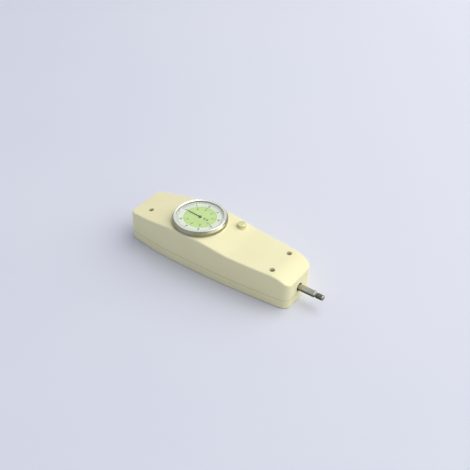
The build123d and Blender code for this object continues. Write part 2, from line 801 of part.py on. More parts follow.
with BuildPart() as rack_screws:
    slotted_screws(
        rack_screw_places,
        rack_head_seat,
        rack_head_seat - rack_bottom + carrier_thread,
        small_screw_radius,
        small_head_radius - 0.1,
        small_head_height,
    )
rack_screws.part.label = "rack_screws"

with BuildPart() as drive_arbor:
    with Locations((drive_x, drive_y, plate_bottom)):
        Cylinder(pivot_radius, upper_top - plate_bottom, align=centred)
    with Locations((drive_x, drive_y, plate_top + end_play)):
        Cylinder(drive_arbor_radius, upper_bottom - plate_top - 2 * end_play, align=centred)
drive_arbor.part.label = "drive_arbor"

with BuildPart() as drive_pinion:
    with BuildSketch(Plane.XY.offset(rack_bottom + pinion_lift)):
        with BuildLine():
            Polyline(*gear_points(rack_module, pinion_teeth, drive_x, drive_y, 90.0), close=True)
        make_face()
        with Locations((drive_x, drive_y)):
            Circle(drive_arbor_radius, mode=Mode.SUBTRACT)
    extrude(amount=wheel_bottom - rack_bottom - pinion_lift)
drive_pinion.part.label = "drive_pinion"

with BuildPart() as drive_wheel:
    with BuildSketch(Plane.XY.offset(wheel_bottom)):
        with BuildLine():
            Polyline(*gear_points(wheel_module, wheel_teeth, drive_x, drive_y, mesh_angle), close=True)
        make_face()
        with Locations((drive_x, drive_y)):
            Circle(drive_arbor_radius, mode=Mode.SUBTRACT)
            with PolarLocations(wheel_hole_share * wheel_radius, wheel_holes):
                Circle(wheel_hole_radius, mode=Mode.SUBTRACT)
    extrude(amount=wheel_thickness)
drive_wheel.part.label = "drive_wheel"

hub_bottom = dial_top + hub_lift
pointer_bottom = hub_bottom + hub_height
pointer_top = pointer_bottom + pointer_thickness
hub_neck_radius = pointer_arbor_radius + hub_wall

with BuildPart() as pointer_arbor:
    with Locations((dial_x, 0, plate_bottom)):
        Cylinder(pivot_radius, plate_thickness + 2 * end_play, align=centred)
    with Locations((dial_x, 0, plate_top + end_play)):
        Cylinder(pointer_arbor_radius, pointer_top - plate_top - end_play, align=centred)
pointer_arbor.part.label = "pointer_arbor"

with BuildPart() as centre_pinion:
    with BuildSketch(Plane.XY.offset(wheel_bottom - end_play)):
        with BuildLine():
            gap_angle = mesh_angle + 180.0
            tooth_angle = gap_angle + 180.0 / centre_teeth
            Polyline(*gear_points(wheel_module, centre_teeth, dial_x, 0, tooth_angle), close=True)
        make_face()
        with Locations((dial_x, 0)):
            Circle(pointer_arbor_radius, mode=Mode.SUBTRACT)
    extrude(amount=wheel_thickness + 2 * end_play)
centre_pinion.part.label = "centre_pinion"

with BuildPart() as pointer_hub:
    with Locations((dial_x, 0, hub_bottom)):
        Cylinder(pointer_hub_radius, hub_height, align=centred)
        Cylinder(hub_neck_radius, pointer_top - hub_bottom, align=centred)
        Cylinder(pointer_arbor_radius, pointer_top - hub_bottom, align=centred, mode=Mode.SUBTRACT)
pointer_hub.part.label = "pointer_hub"

with BuildPart() as pointer:
    with BuildSketch(Plane((dial_x, 0, pointer_bottom)).rotated((0, 0, pointer_angle))):
        Circle(pointer_hub_radius)
        with BuildLine():
            Polyline(
                (-pointer_tail, -pointer_half_width),
                (-pointer_tail, pointer_half_width),
                (0, pointer_half_width),
                (pointer_length - pointer_point, pointer_tip_half_width),
                (pointer_length, 0),
                (pointer_length - pointer_point, -pointer_tip_half_width),
                (0, -pointer_half_width),
                close=True,
            )
        make_face()
        Circle(hub_neck_radius, mode=Mode.SUBTRACT)
    extrude(amount=pointer_thickness)
pointer.part.label = "pointer"


# ---------------------------------------------------------------- bezel, crystal and dial
def dial_ring(bottom, height, outer_radius, inner_radius):
    """A ring about the dial's axis, made in the open part."""
    with BuildSketch(Plane.XY.offset(bottom)) as section:
        with Locations((dial_x, 0)):
            Circle(outer_radius)
            if inner_radius:
                Circle(inner_radius, mode=Mode.SUBTRACT)
    extrude(section.sketch, amount=height)


dial_axis = Axis((dial_x, 0, 0), (0, 0, 1))

with BuildPart() as bezel_ring:
    with BuildSketch(Plane.XZ):
        with BuildLine():
            Polyline(
                (dial_x + bore_radius, bezel_bottom),
                (dial_x + bezel_radius - bezel_edge, bezel_bottom),
                (dial_x + bezel_radius, bezel_bottom + bezel_edge),
                (dial_x + bezel_radius, bezel_bottom + bezel_grip),
                (dial_x + bezel_rim_radius, bezel_top - bezel_edge),
                (dial_x + bezel_rim_radius - bezel_edge, bezel_top),
                (dial_x + window_radius + lip_slope, bezel_top),
                (dial_x + window_radius, lip_bottom + bezel_edge),
                (dial_x + window_radius, lip_bottom),
                (dial_x + bore_radius, lip_bottom),
                (dial_x + bore_radius, dial_bottom),
                (dial_x + bore_radius + clip_grip, dial_bottom),
                (dial_x + bore_radius + clip_grip, clip_bottom),
                (dial_x + bore_radius, clip_bottom),
                close=True,
            )
        make_face()
        with Locations((dial_x + collar_radius, ring_z)):
            Circle(ring_wire_radius + running_clearance, mode=Mode.SUBTRACT)
    revolve(axis=dial_axis)
bezel_ring.part.label = "bezel_ring"

with BuildPart() as bezel_wire:
    with BuildSketch(Plane.XZ):
        with Locations((dial_x + collar_radius, ring_z)):
            Circle(ring_wire_radius)
    revolve(axis=dial_axis, revolution_arc=wire_arc)
bezel_wire.part.label = "bezel_wire"

with BuildPart() as crystal_seal:
    dial_ring(crystal_top, seal_thickness, crystal_radius, window_radius + seal_setback)
crystal_seal.part.label = "crystal_seal"

with BuildPart() as crystal:
    dial_ring(crystal_bottom, crystal_thickness, crystal_radius, 0)
crystal.part.label = "crystal"

with BuildPart() as spacer_ring:
    dial_ring(dial_top, spacer_height, crystal_radius, crystal_radius - spacer_wall)
spacer_ring.part.label = "spacer_ring"

with BuildPart() as dial_plate:
    dial_ring(dial_bottom, dial_thickness, crystal_radius, pointer_arbor_radius + dial_hole_gap)
dial_plate.part.label = "dial_plate"

with BuildPart() as dial_clip:
    clip_outer = bore_radius + clip_grip - crystal_clearance
    dial_ring(clip_bottom, clip_thickness, clip_outer, bore_radius - clip_width)
    with Locations((dial_x + bore_radius, 0, clip_bottom)):
        Box(4 * clip_width, clip_split, 2 * clip_thickness, mode=Mode.SUBTRACT)
dial_clip.part.label = "dial_clip"

# ---------------------------------------------------------------- reset button and peak lever
head_top = guide_top + button_stand
head_bottom = head_top - button_head_height
floor_top = head_bottom - button_travel - button_over_travel
guide_bottom = floor_top - guide_floor
lever_arm_top = plate_top + lever_drop
stem_bottom = lever_arm_top + stem_gap
clip_top = guide_bottom - lip_clearance
button_place = (button_x, button_y)


def button_disc(bottom, top, radius, mode=Mode.ADD):
    """A disc on the button's axis, made in the open part."""
    with Locations((*button_place, bottom)):
        Cylinder(radius, top - bottom, align=centred, mode=mode)


with BuildPart() as button_guide:
    button_disc(guide_bottom, guide_top, guide_radius)
    button_disc(floor_top, guide_top, button_radius + running_clearance, Mode.SUBTRACT)
    button_disc(guide_bottom, floor_top, button_stem_radius + running_clearance, Mode.SUBTRACT)
button_guide.part.label = "button_guide"

with BuildPart() as reset_button:
    button_disc(head_bottom, head_top, button_radius)
    fillet(reset_button.edges().group_by(Axis.Z)[-1], button_edge)
    with BuildSketch(Plane.XY.offset(head_bottom)):
        with Locations(button_place):
            Circle(button_radius - button_wall)
            Circle(button_stem_radius + button_wall, mode=Mode.SUBTRACT)
    extrude(amount=spring_recess, mode=Mode.SUBTRACT)
    button_disc(stem_bottom, head_bottom, button_stem_radius)
    with BuildSketch(Plane.XY.offset(clip_top - button_clip_thickness)):
        with Locations(button_place):
            Circle(button_stem_radius)
            Circle(button_stem_radius - button_groove, mode=Mode.SUBTRACT)
    extrude(amount=button_clip_thickness, mode=Mode.SUBTRACT)
reset_button.part.label = "reset_button"

with BuildPart() as button_clip:
    button_disc(clip_top - button_clip_thickness, clip_top, button_clip_radius)
    button_disc(clip_top - button_clip_thickness, clip_top, button_stem_radius - button_groove, Mode.SUBTRACT)
    with Locations((button_x, button_y + button_clip_radius, clip_top)):
        Box(button_clip_mouth, 2 * button_clip_radius, 3 * button_clip_thickness, mode=Mode.SUBTRACT)
button_clip.part.label = "button_clip"

pad_bottom = wheel_top + brake_gap
pad_top = pad_bottom + pad_thickness
pivot_z = lever_arm_top + ear_gap
hub_radius = lever_pin_radius + lever_hub_wall

with BuildPart() as peak_lever:
    with BuildSketch(lever_plane):
        with Locations((-lever_end, lever_arm_top)):
            Rectangle(lever_end + pivot_reach, lever_arm, align=(Align.MIN, Align.MAX))
        with Locations((pivot_reach, lever_arm_top - lever_arm)):
            Rectangle(lever_web, pad_top - lever_arm_top + 2 * lever_arm, align=(Align.MIN, Align.MIN))
        with Locations((pivot_reach, pad_top)):
            Rectangle(lever_span - pivot_reach + pad_radius, lever_arm, align=(Align.MIN, Align.MIN))
        with Locations((pivot_reach, pivot_z)):
            Circle(hub_radius)
            Circle(lever_pin_radius + running_clearance, mode=Mode.SUBTRACT)
    extrude(amount=lever_width / 2, both=True)
peak_lever.part.label = "peak_lever"

with BuildPart() as brake_pad:
    with Locations((pad_x, pad_y, pad_bottom)):
        Cylinder(pad_radius, pad_thickness, align=centred)
brake_pad.part.label = "brake_pad"

with BuildPart() as lever_pin:
    with BuildSketch(lever_plane):
        with Locations((pivot_reach, pivot_z)):
            Circle(lever_pin_radius)
    extrude(amount=lever_width / 2 + 2 * ear_gap + ear_thickness, both=True)
lever_pin.part.label = "lever_pin"

with BuildPart() as lever_bracket:
    with BuildSketch(bracket_plane):
        with Locations((pivot_reach, bracket_inside)):
            Rectangle(bracket_length, bracket_inside + bracket_outside, align=(Align.CENTER, Align.MAX))
    extrude(amount=bracket_thickness)
    for side in (1, -1):
        with BuildSketch(lever_plane.offset(side * (lever_width / 2 + ear_gap))):
            with Locations((pivot_reach, pivot_z)):
                Circle(hub_radius)
            with Locations((pivot_reach, plate_top)):
                Rectangle(2 * hub_radius, pivot_z - plate_top, align=(Align.CENTER, Align.MIN))
            with Locations((pivot_reach, pivot_z)):
                Circle(lever_pin_radius, mode=Mode.SUBTRACT)
        extrude(amount=side * ear_thickness)
    with Locations(bracket_plane * Location((pivot_reach, bracket_screw_y, bracket_thickness))):
        Hole(small_screw_radius, depth=bracket_thickness)
lever_bracket.part.label = "lever_bracket"

with BuildPart() as bracket_screw_part:
    slotted_screws(
        [(bracket_screw.position.X, bracket_screw.position.Y)],
        plate_top + bracket_thickness,
        bracket_thickness + plate_thickness,
        small_screw_radius,
        small_head_radius,
        small_head_height,
    )
bracket_screw_part.part.label = "bracket_screw"


# ---------------------------------------------------------------- springs
def coil_spring(start, direction, length, radius, wire_radius, turns):
    """A helical spring that fills length from start, made in the open part."""
    origin = Vector(*start) + Vector(*direction) * wire_radius
    rise = length - 2 * wire_radius
    with BuildLine() as path:
        Helix(pitch=rise / turns, height=rise, radius=radius, center=origin, direction=direction)
    with BuildSketch(Plane(path.line @ 0, z_dir=path.line % 0)) as section:
        Circle(wire_radius)
    sweep(section.sketch, path=path.line, is_frenet=True)


spring_length = flange_rear_x - chamber_rear_x
spring_turns = round((spring_length - 2 * spring_wire_radius) / spring_pitch)

with BuildPart() as rear_spring:
    coil_spring(
        (chamber_rear_x, 0, spindle_height),
        (1, 0, 0),
        spring_length,
        spring_radius,
        spring_wire_radius,
        spring_turns,
    )
rear_spring.part.label = "rear_spring"

with BuildPart() as front_spring:
    coil_spring(
        (flange_front_x, 0, spindle_height),
        (1, 0, 0),
        spring_length,
        spring_radius,
        spring_wire_radius,
        spring_turns,
    )
front_spring.part.label = "front_spring"

with BuildPart() as button_spring:
    coil_spring(
        (button_x, button_y, floor_top),
        (0, 0, 1),
        head_bottom + spring_recess - floor_top,
        button_spring_radius,
        button_spring_wire,
        button_spring_turns,
    )
button_spring.part.label = "button_spring"

# ---------------------------------------------------------------- export
pieces = [
    back_case, front_cover, cover_screws, mount_inserts, spindle_bush, chassis, chassis_screws,
    lower_plate, lower_plate_screws, plate_pillars, upper_plate, upper_plate_screws,
    spindle_rod, spring_flange, flange_clip, rack_carrier, carrier_pin, rack, rack_screws,
    drive_arbor, drive_pinion, drive_wheel, pointer_arbor, centre_pinion, pointer_hub, pointer,
    bezel_ring, bezel_wire, crystal_seal, crystal, spacer_ring, dial_plate, dial_clip,
    button_guide, reset_button, button_clip, button_spring,
    peak_lever, brake_pad, lever_pin, lever_bracket, bracket_screw_part, rear_spring, front_spring,
]
os.makedirs("parts", exist_ok=True)
for piece in pieces:
    export_step(piece.part, f"parts/{piece.part.label}.step")
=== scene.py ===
"""Looks of an analog push-pull force gauge.

An enamelled housing, a polished bezel, a printed dial and a threaded spindle.
"""
import bmesh
import bpy
import json
import math
from mathutils import Matrix, Vector


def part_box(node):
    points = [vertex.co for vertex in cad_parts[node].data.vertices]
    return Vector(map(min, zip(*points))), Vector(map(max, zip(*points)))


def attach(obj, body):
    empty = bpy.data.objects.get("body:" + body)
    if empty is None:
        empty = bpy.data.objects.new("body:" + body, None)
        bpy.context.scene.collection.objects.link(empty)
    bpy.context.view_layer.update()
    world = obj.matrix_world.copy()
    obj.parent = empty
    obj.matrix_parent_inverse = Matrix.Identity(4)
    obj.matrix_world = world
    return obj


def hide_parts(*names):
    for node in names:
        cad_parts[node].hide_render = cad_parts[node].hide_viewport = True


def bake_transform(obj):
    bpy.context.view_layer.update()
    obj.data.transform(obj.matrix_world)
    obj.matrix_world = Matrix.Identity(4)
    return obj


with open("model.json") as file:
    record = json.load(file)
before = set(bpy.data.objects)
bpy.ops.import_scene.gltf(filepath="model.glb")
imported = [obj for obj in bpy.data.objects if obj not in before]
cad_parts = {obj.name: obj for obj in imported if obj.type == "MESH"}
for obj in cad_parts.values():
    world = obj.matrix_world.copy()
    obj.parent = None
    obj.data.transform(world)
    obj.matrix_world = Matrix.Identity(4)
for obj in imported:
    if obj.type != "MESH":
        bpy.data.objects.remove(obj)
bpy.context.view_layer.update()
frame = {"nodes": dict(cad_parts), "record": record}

MM = 0.001
X_AXIS = Vector((1, 0, 0))
Z_AXIS = Vector((0, 0, 1))

# ---------------------------------------------------------------- places, from the frame
dial_low, dial_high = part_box("dial_plate")
rod_low, rod_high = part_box("spindle_rod")
pointer_low, pointer_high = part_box("pointer")
dial_x = (dial_low.x + dial_high.x) / 2
dial_top = dial_high.z
spindle_z = (rod_low.z + rod_high.z) / 2
flange_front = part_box("spring_flange")[1].x
parting_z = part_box("front_cover")[0].z

# ---------------------------------------------------------------- sizes of what is added
bezel_rim_radius = 27.95 * MM
green_radius = 17.9 * MM
dial_edge_radius = 25.3 * MM
print_height = 0.04 * MM
zero_angle = math.radians(176.0)        # of the scale, from +X
scale_top = 45                          # newtons at the end of the scale
scale_sweep = math.radians(351.0)
newtons_per_mark = 0.980665             # of the inner scale, whose marks are tenths of a kilogram of force
newton_margin = 0.7 * MM                # from the outer scale to the dial's edge
kilogram_margin = 0.5 * MM              # from the inner scale to the green's edge

spindle_radius = 3.5 * MM
tail_radius = 3.0 * MM                  # behind the spring flange
thread_radius = 3.0 * MM
thread_pitch = 1.0 * MM
thread_depth = 0.55 * MM
thread_length = 8.3 * MM
relief_radius = 2.6 * MM
relief_length = 1.0 * MM
tip_chamfer = 0.6 * MM
pointer_bore = 1.26 * MM                # round the hub's neck
pointer_collar = 1.6 * MM
pointer_reach = 17.9 * MM
pointer_tail = 2.4 * MM
pointer_round = 0.1 * MM
shoulder_chamfer = 0.5 * MM

load_coil = (5.6 * MM, 0.85 * MM, 5)    # coil radius, wire radius and turns
button_coil = (3.05 * MM, 0.25 * MM, 4)

seam_half_width = 0.12 * MM             # of the dark line at the parting
seam_guard = 1.6 * MM                   # from the parting, where the edges get no painted highlight
fine_streak = 0.000004                  # depth of the grain, in metres


def srgb(red, green, blue):
    """A display colour, from 0 to 255, as Blender's linear one."""
    def linear(value):
        share = value / 255
        return share / 12.92 if share <= 0.04045 else ((share + 0.055) / 1.055) ** 2.4
    return (linear(red), linear(green), linear(blue), 1.0)


# ---------------------------------------------------------------- shader effects that materials share
def new_group(name, inputs, outputs):
    """An empty shader group, from float inputs as (name, default) and outputs as (name, kind)."""
    group = bpy.data.node_groups.new(name, "ShaderNodeTree")
    for label, default in inputs:
        socket = group.interface.new_socket(label, in_out="INPUT", socket_type="NodeSocketFloat")
        socket.default_value = default
    for label, kind in outputs:
        group.interface.new_socket(label, in_out="OUTPUT", socket_type=kind)
    return group, group.nodes.new("NodeGroupInput"), group.nodes.new("NodeGroupOutput")


def math_node(tree, operation, first, second=None, clamp=False):
    node = tree.nodes.new("ShaderNodeMath")
    node.operation = operation
    node.use_clamp = clamp
    for socket, value in zip(node.inputs, (first, second)):
        if isinstance(value, bpy.types.NodeSocket):
            tree.links.new(value, socket)
        elif value is not None:
            socket.default_value = value
    return node.outputs[0]


def build_paint_skin():
    """Cloudy tint and orange peel of a sprayed coat."""
    group, given, result = new_group(
        "paint_skin",
        [("Cloud Scale", 25.0), ("Peel Scale", 900.0)],
        [("Cloud", "NodeSocketFloat"), ("Peel", "NodeSocketFloat")],
    )
    where = group.nodes.new("ShaderNodeTexCoord")
    for scale, label, detail in (("Cloud Scale", "Cloud", 4.0), ("Peel Scale", "Peel", 2.0)):
        noise = group.nodes.new("ShaderNodeTexNoise")
        noise.inputs["Detail"].default_value = detail
        group.links.new(where.outputs["Object"], noise.inputs["Vector"])
        group.links.new(given.outputs[scale], noise.inputs["Scale"])
        group.links.new(noise.outputs["Fac"], result.inputs[label])
    return group


def build_edge_mask():
    """White along sharp and rounded edges, broken up by noise; the materials use it for painted highlights.
    """
    group, given, result = new_group(
        "edge_mask", [("Radius", 0.0006), ("Gain", 4.0)], [("Mask", "NodeSocketFloat")]
    )
    rounded = group.nodes.new("ShaderNodeBevel")
    rounded.samples = 4
    group.links.new(given.outputs["Radius"], rounded.inputs["Radius"])
    flat = group.nodes.new("ShaderNodeNewGeometry")
    dot = group.nodes.new("ShaderNodeVectorMath")
    dot.operation = "DOT_PRODUCT"
    group.links.new(rounded.outputs["Normal"], dot.inputs[0])
    group.links.new(flat.outputs["Normal"], dot.inputs[1])
    bend = math_node(group, "SUBTRACT", 1.0, dot.outputs["Value"])
    strong = math_node(group, "MULTIPLY", bend, given.outputs["Gain"], clamp=True)
    where = group.nodes.new("ShaderNodeTexCoord")
    noise = group.nodes.new("ShaderNodeTexNoise")
    noise.inputs["Scale"].default_value = 400.0
    group.links.new(where.outputs["Object"], noise.inputs["Vector"])
    broken = math_node(group, "MULTIPLY", strong, noise.outputs["Fac"], clamp=True)
    group.links.new(broken, result.inputs["Mask"])
    return group


def build_metal_grain():
    """Streaks that run along one direction, for drawn, ground and brushed metal."""
    group, given, result = new_group(
        "metal_grain",
        [("Along X", 40.0), ("Along Y", 4000.0), ("Along Z", 4000.0)],
        [("Streak", "NodeSocketFloat"), ("Cloud", "NodeSocketFloat")],
    )
    where = group.nodes.new("ShaderNodeTexCoord")
    join = group.nodes.new("ShaderNodeCombineXYZ")
    for label, axis in (("Along X", "X"), ("Along Y", "Y"), ("Along Z", "Z")):
        group.links.new(given.outputs[label], join.inputs[axis])
    stretch = group.nodes.new("ShaderNodeVectorMath")
    stretch.operation = "MULTIPLY"
    group.links.new(where.outputs["Object"], stretch.inputs[0])
    group.links.new(join.outputs[0], stretch.inputs[1])
    streak = group.nodes.new("ShaderNodeTexNoise")
    streak.inputs["Scale"].default_value = 1.0
    streak.inputs["Detail"].default_value = 3.0
    group.links.new(stretch.outputs[0], streak.inputs["Vector"])
    group.links.new(streak.outputs["Fac"], result.inputs["Streak"])
    cloud = group.nodes.new("ShaderNodeTexNoise")
    cloud.inputs["Scale"].default_value = 60.0
    cloud.inputs["Detail"].default_value = 5.0
    group.links.new(where.outputs["Object"], cloud.inputs["Vector"])
    group.links.new(cloud.outputs["Fac"], result.inputs["Cloud"])
    return group


paint_skin = build_paint_skin()
edge_mask = build_edge_mask()
metal_grain = build_metal_grain()


# ---------------------------------------------------------------- materials
def new_material(name):
    material = bpy.data.materials.new(name)
    material.use_nodes = True
    tree = material.node_tree
    return material, tree, tree.nodes["Principled BSDF"]


def place_group(tree, group, **values):
    node = tree.nodes.new("ShaderNodeGroup")
    node.node_tree = group
    for label, value in values.items():
        node.inputs[label.replace("_", " ")].default_value = value
    return node


def blend_colours(tree, mask, first, second):
    """A colour that goes from first to second with the mask."""
    mix = tree.nodes.new("ShaderNodeMix")
    mix.data_type = "RGBA"
    tree.links.new(mask, mix.inputs["Factor"])
    for socket, value in ((mix.inputs[6], first), (mix.inputs[7], second)):
        if isinstance(value, bpy.types.NodeSocket):
            tree.links.new(value, socket)
        else:
            socket.default_value = value
    return mix.outputs[2]


def spread(tree, value, low, high):
    """The noise value from about 0.3 to 0.7, mapped to low to high."""
    node = tree.nodes.new("ShaderNodeMapRange")
    node.inputs["From Min"].default_value = 0.3
    node.inputs["From Max"].default_value = 0.7
    node.inputs["To Min"].default_value = low
    node.inputs["To Max"].default_value = high
    tree.links.new(value, node.inputs["Value"])
    return node.outputs["Result"]


def add_bump(tree, shader, height, distance, strength=1.0):
    bump = tree.nodes.new("ShaderNodeBump")
    bump.inputs["Distance"].default_value = distance
    bump.inputs["Strength"].default_value = strength
    tree.links.new(height, bump.inputs["Height"])
    tree.links.new(bump.outputs["Normal"], shader.inputs["Normal"])


def axis_distance(tree):
    """How far a point is from the dial's axis."""
    where = tree.nodes.new("ShaderNodeTexCoord")
    centre = tree.nodes.new("ShaderNodeMapping")
    centre.vector_type = "POINT"
    centre.inputs["Location"].default_value = (-dial_x, 0.0, 0.0)
    centre.inputs["Scale"].default_value = (1.0, 1.0, 0.0)
    tree.links.new(where.outputs["Object"], centre.inputs["Vector"])
    distance = tree.nodes.new("ShaderNodeVectorMath")
    distance.operation = "LENGTH"
    tree.links.new(centre.outputs["Vector"], distance.inputs[0])
    return distance.outputs["Value"]


def enamel(name, light, dark, painted_edge_highlight, seam, roughness, peel_depth):
    """A baked coat: a cloudy tint, orange peel, painted highlights on the rounded edges and a dark line at
    the parting.
    """
    material, tree, shader = new_material(name)
    skin = place_group(tree, paint_skin)
    cloudy = blend_colours(tree, spread(tree, skin.outputs["Cloud"], 0.0, 1.0), light, dark)
    # Painted highlight: a near-white colour along the rounded edges, kept clear of the parting.
    edge_highlight_mask = place_group(tree, edge_mask, Radius=0.0014, Gain=16.0)
    where = tree.nodes.new("ShaderNodeTexCoord")
    parts = tree.nodes.new("ShaderNodeSeparateXYZ")
    tree.links.new(where.outputs["Object"], parts.inputs["Vector"])
    from_parting = math_node(tree, "ABSOLUTE", math_node(tree, "SUBTRACT", parts.outputs["Z"], parting_z))
    away = math_node(tree, "GREATER_THAN", from_parting, seam_guard)
    edge = math_node(tree, "MULTIPLY", edge_highlight_mask.outputs["Mask"], away)
    in_seam = math_node(tree, "LESS_THAN", from_parting, seam_half_width)
    coat = blend_colours(tree, edge, cloudy, painted_edge_highlight)
    tree.links.new(blend_colours(tree, in_seam, coat, seam), shader.inputs["Base Color"])
    tree.links.new(
        spread(tree, skin.outputs["Cloud"], roughness - 0.04, roughness + 0.05), shader.inputs["Roughness"]
    )
    shader.inputs["Specular IOR Level"].default_value = 0.3
    add_bump(tree, shader, skin.outputs["Peel"], peel_depth)
    return material


def metal(name, light, dark, roughness, grain=(40.0, 4000.0, 4000.0), streak_depth=fine_streak):
    """A bare or plated metal with a fine grain and a faint stain."""
    material, tree, shader = new_material(name)
    marks = place_group(tree, metal_grain, Along_X=grain[0], Along_Y=grain[1], Along_Z=grain[2])
    colour = blend_colours(tree, spread(tree, marks.outputs["Cloud"], 0.0, 1.0), light, dark)
    tree.links.new(colour, shader.inputs["Base Color"])
    tree.links.new(
        spread(tree, marks.outputs["Streak"], roughness * 0.8, roughness * 1.25), shader.inputs["Roughness"]
    )
    shader.inputs["Metallic"].default_value = 1.0
    add_bump(tree, shader, marks.outputs["Streak"], streak_depth)
    return material


def shaft_metal(name, light, dark, painted_underside_shade, painted_shoulder_highlight, roughness, grain):
    """Drawn along its length, with painted shade on its lower half and painted highlights on its turned
    edges.
    """
    material, tree, shader = new_material(name)
    marks = place_group(tree, metal_grain, Along_X=grain[0], Along_Y=grain[1], Along_Z=grain[2])
    stained = blend_colours(tree, spread(tree, marks.outputs["Cloud"], 0.0, 1.0), light, dark)
    where = tree.nodes.new("ShaderNodeTexCoord")
    parts = tree.nodes.new("ShaderNodeSeparateXYZ")
    tree.links.new(where.outputs["Object"], parts.inputs["Vector"])
    # Painted shade: the colour darkens towards the bottom of the shaft.
    shade_below = tree.nodes.new("ShaderNodeMapRange")
    shade_below.inputs["From Min"].default_value = spindle_z + 0.55 * spindle_radius
    shade_below.inputs["From Max"].default_value = spindle_z - 0.1 * spindle_radius
    tree.links.new(parts.outputs["Z"], shade_below.inputs["Value"])
    body = blend_colours(tree, shade_below.outputs["Result"], stained, painted_underside_shade)
    # Painted highlight along the turned edges and the step.
    edges = place_group(tree, edge_mask, Radius=0.0004, Gain=6.0)
    tree.links.new(blend_colours(tree, edges.outputs["Mask"], body, painted_shoulder_highlight), shader.inputs["Base Color"])
    tree.links.new(
        spread(tree, marks.outputs["Streak"], roughness * 0.8, roughness * 1.25), shader.inputs["Roughness"]
    )
    shader.inputs["Metallic"].default_value = 1.0
    add_bump(tree, shader, marks.outputs["Streak"], fine_streak)
    return material


def bezel_chrome(name, olive_reflection_wall, olive_reflection_wall_dark, pale_reflection_slope, painted_rim_highlight, roughness):
    """Turned, plated metal with painted reflections: an olive-dark outer face standing in for the cream
    housing reflected in it, a paler cone down to the window standing in for the sky, and painted highlights
    on the edges.
    """
    material, tree, shader = new_material(name)
    marks = place_group(tree, metal_grain, Along_X=700.0, Along_Y=700.0, Along_Z=5000.0)
    # Painted reflection: the outer face is coloured olive-dark, in two tones at random.
    painted_reflection_outside = blend_colours(tree, spread(tree, marks.outputs["Cloud"], 0.0, 1.0), olive_reflection_wall, olive_reflection_wall_dark)
    inside = math_node(tree, "LESS_THAN", axis_distance(tree), bezel_rim_radius)
    # Painted reflection: within the rim radius the colour is pale.
    body = blend_colours(tree, inside, painted_reflection_outside, pale_reflection_slope)
    # Painted highlight along the rim's edges.
    edges = place_group(tree, edge_mask, Radius=0.0006, Gain=9.0)
    tree.links.new(blend_colours(tree, edges.outputs["Mask"], body, painted_rim_highlight), shader.inputs["Base Color"])
    tree.links.new(
        spread(tree, marks.outputs["Streak"], roughness * 0.8, roughness * 1.25), shader.inputs["Roughness"]
    )
    shader.inputs["Metallic"].default_value = 1.0
    add_bump(tree, shader, marks.outputs["Streak"], 0.000003)
    return material


def moulding(name, light, dark, roughness, peel_depth=0.00001):
    """A moulded plastic or rubber with a fine matt texture."""
    material, tree, shader = new_material(name)
    skin = place_group(tree, paint_skin, Cloud_Scale=80.0, Peel_Scale=2500.0)
    colour = blend_colours(tree, spread(tree, skin.outputs["Cloud"], 0.0, 1.0), light, dark)
    tree.links.new(colour, shader.inputs["Base Color"])
    tree.links.new(
        spread(tree, skin.outputs["Peel"], roughness - 0.05, roughness + 0.05), shader.inputs["Roughness"]
    )
    add_bump(tree, shader, skin.outputs["Peel"], peel_depth)
    return material


def dial_print(name, ring, ring_shade, green, green_shade):
    """The dial's white margin and green middle, printed on one plate."""
    material, tree, shader = new_material(name)
    inside = math_node(tree, "LESS_THAN", axis_distance(tree), green_radius)
    skin = place_group(tree, paint_skin, Cloud_Scale=70.0, Peel_Scale=3000.0)
    clouds = spread(tree, skin.outputs["Cloud"], 0.0, 1.0)
    margin = blend_colours(tree, clouds, ring, ring_shade)
    middle = blend_colours(tree, clouds, green, green_shade)
    tree.links.new(blend_colours(tree, inside, margin, middle), shader.inputs["Base Color"])
    tree.links.new(spread(tree, skin.outputs["Cloud"], 0.4, 0.5), shader.inputs["Roughness"])
    add_bump(tree, shader, skin.outputs["Peel"], 0.000004)
    return material


def glass(name, tint, roughness):
    material, tree, shader = new_material(name)
    skin = place_group(tree, paint_skin, Cloud_Scale=30.0, Peel_Scale=200.0)
    tree.links.new(
        spread(tree, skin.outputs["Cloud"], roughness * 0.5, roughness * 1.5), shader.inputs["Roughness"]
    )
    shader.inputs["Base Color"].default_value = tint
    shader.inputs["Transmission Weight"].default_value = 1.0
    shader.inputs["IOR"].default_value = 1.33
    return material


# The fourth colour is the painted edge highlight, the fifth the dark line at the parting.
cream_enamel = enamel(
    "cream_enamel", srgb(249, 243, 194), srgb(245, 238, 187), srgb(255, 254, 246), srgb(128, 124, 96),
    0.46, 0.00002,
)
button_ivory = moulding("button_ivory", srgb(236, 230, 190), srgb(226, 220, 178), 0.4)
# The first two colours are the painted olive reflection of the outer face, the third the painted pale
# reflection inside the rim, the fourth the painted rim highlight.
chrome_plate = bezel_chrome(
    "chrome_plate", srgb(154, 154, 131), srgb(136, 136, 114), srgb(226, 228, 218), srgb(252, 252, 246), 0.24
)
ground_steel = metal("ground_steel", srgb(172, 170, 158), srgb(146, 145, 133), 0.22, (4000.0, 300.0, 300.0))
# The third colour is painted shade for the lower half, the fourth a painted highlight for the turned edges.
shaft_steel = shaft_metal(
    "shaft_steel", srgb(174, 173, 160), srgb(150, 149, 136), srgb(60, 62, 54), srgb(244, 244, 238), 0.2,
    (4000.0, 300.0, 300.0),
)
